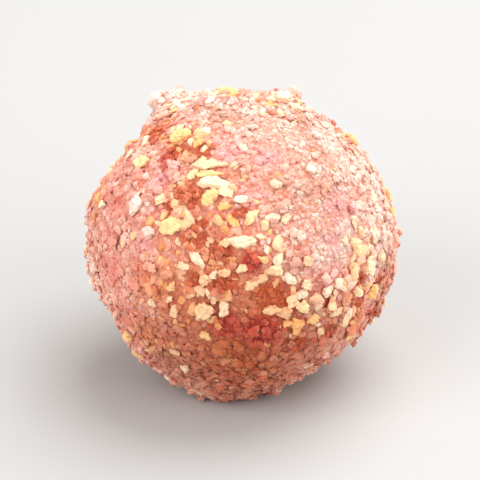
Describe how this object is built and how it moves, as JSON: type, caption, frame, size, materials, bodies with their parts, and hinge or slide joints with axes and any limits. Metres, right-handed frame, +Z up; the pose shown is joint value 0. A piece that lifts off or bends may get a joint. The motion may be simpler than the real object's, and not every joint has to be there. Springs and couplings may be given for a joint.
{
  "type": "mochi",
  "caption": "Round soft rice-dough ball, coated all over in fine pink grains and larger golden crumbs, resting on a small flat spot.",
  "frame": {"origin": "middle of the small flat spot that the ball rests on", "axes": "+Z up from the flat spot, -Y the side that the picture shows, +X to that side's right"},
  "size_m": [0.045, 0.0449, 0.0425],
  "materials": {
    "crumb_coat": "dry and rough, fine pink and salmon grains with cream and golden crumbs and orange-brown gaps between them"
  },
  "bodies": {
    "root": {"mochi": "crumb_coat"}
  },
  "joints": []
}
